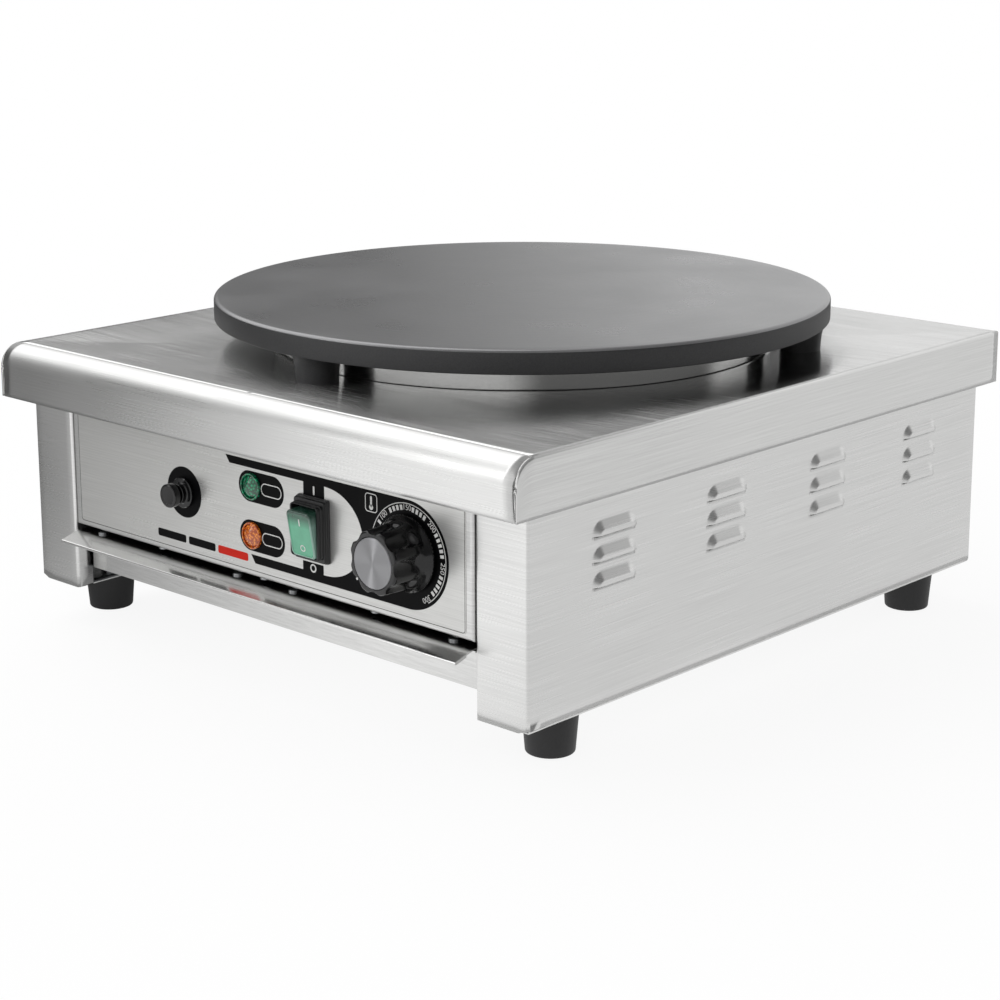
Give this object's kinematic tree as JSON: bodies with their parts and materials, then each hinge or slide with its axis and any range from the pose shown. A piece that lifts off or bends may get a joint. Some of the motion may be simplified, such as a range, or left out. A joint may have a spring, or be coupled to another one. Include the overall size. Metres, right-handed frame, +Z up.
{
  "type": "electric crepe maker",
  "caption": "Countertop electric crepe maker: round cast griddle plate on lugs over a sheet-steel housing on rubber feet, with a front control panel and a pull-out tray.",
  "frame": {"origin": "on the counter under the middle of the outer box, with the tray closed", "axes": "+X to the right seen from the front, +Y to the back, +Z up; the control panel faces -Y"},
  "size_m": [0.4508, 0.481, 0.2124],
  "materials": {
    "brushed_steel": "brushed stainless sheet",
    "cover_steel": "finely brushed stainless sheet, brighter on top",
    "zinc_steel": "galvanised inner sheet",
    "fastener_steel": "zinc plated fasteners",
    "bright_steel": "smooth stainless sheet",
    "panel_print": "printed film, silver and black",
    "cast_iron": "fine matt cast iron with an even seasoned skin",
    "insulation": "pale fibre",
    "element_tube": "dark heating tube",
    "black_plastic": "semi gloss black",
    "switch_black": "satin black",
    "rocker_green": "translucent green",
    "brushed_aluminium": "turned face",
    "green_glass": "clear green",
    "amber_glass": "clear amber",
    "white_plastic": "moulded inner parts",
    "rubber": "matt black rubber"
  },
  "bodies": {
    "housing": {"top_cover": "cover_steel", "side_panel_right": "brushed_steel", "side_panel_left": "brushed_steel", "rear_panel": "brushed_steel", "component_shelf": "zinc_steel", "control_panel": "brushed_steel", "panel_film": "panel_print", "tray_runner_left": "zinc_steel", "tray_runner_right": "zinc_steel", "tray_guide_left": "zinc_steel", "tray_guide_right": "zinc_steel", "griddle_plate": "cast_iron", "lug_bolts": "fastener_steel", "element_pan": "bright_steel", "insulation_disc": "insulation", "outer_element": "element_tube", "inner_element": "element_tube", "element_clamp": "zinc_steel", "centre_stud": "fastener_steel", "stud_nuts": "fastener_steel", "thermostat_body": "white_plastic", "switch_housing": "switch_black", "green_lens": "green_glass", "green_lamp_body": "white_plastic", "orange_lens": "amber_glass", "orange_lamp_body": "white_plastic", "cutout_body": "white_plastic", "reset_collar": "black_plastic", "cable_gland": "black_plastic", "gland_nut": "black_plastic", "terminal_block": "white_plastic", "foot_front_left": "rubber", "foot_front_right": "rubber", "foot_rear_left": "rubber", "foot_rear_right": "rubber", "foot_bolts": "fastener_steel", "foot_nuts": "fastener_steel", "rear_screws": "fastener_steel", "panel_screws": "fastener_steel"},
    "tray": {"tray_pan": "bright_steel", "tray_handle": "bright_steel", "tray_screws": "fastener_steel"},
    "knob": {"thermostat_knob": "black_plastic", "knob_cap": "brushed_aluminium", "thermostat_shaft": "fastener_steel"},
    "rocker": {"switch_rocker": "rocker_green"},
    "reset": {"reset_button": "black_plastic"}
  },
  "joints": [
    {"name": "tray_slide", "type": "slide", "parent": "housing", "child": "tray", "axis": [0, -1, 0], "range_m": [0, 0.3]},
    {"name": "knob_turn", "type": "hinge", "parent": "housing", "child": "knob", "pos_m": [0.1269, -0.2125, 0.1094], "axis": [0, 1, 0], "range_deg": [0, 270]},
    {"name": "rocker_tilt", "type": "hinge", "parent": "housing", "child": "rocker", "pos_m": [0.0504, -0.214, 0.1087], "axis": [1, 0, 0], "range_deg": [-19, 0]},
    {"name": "reset_press", "type": "slide", "parent": "housing", "child": "reset", "axis": [0, 1, 0], "range_m": [0, 0.002], "stiffness_N_per_m": 400}
  ]
}
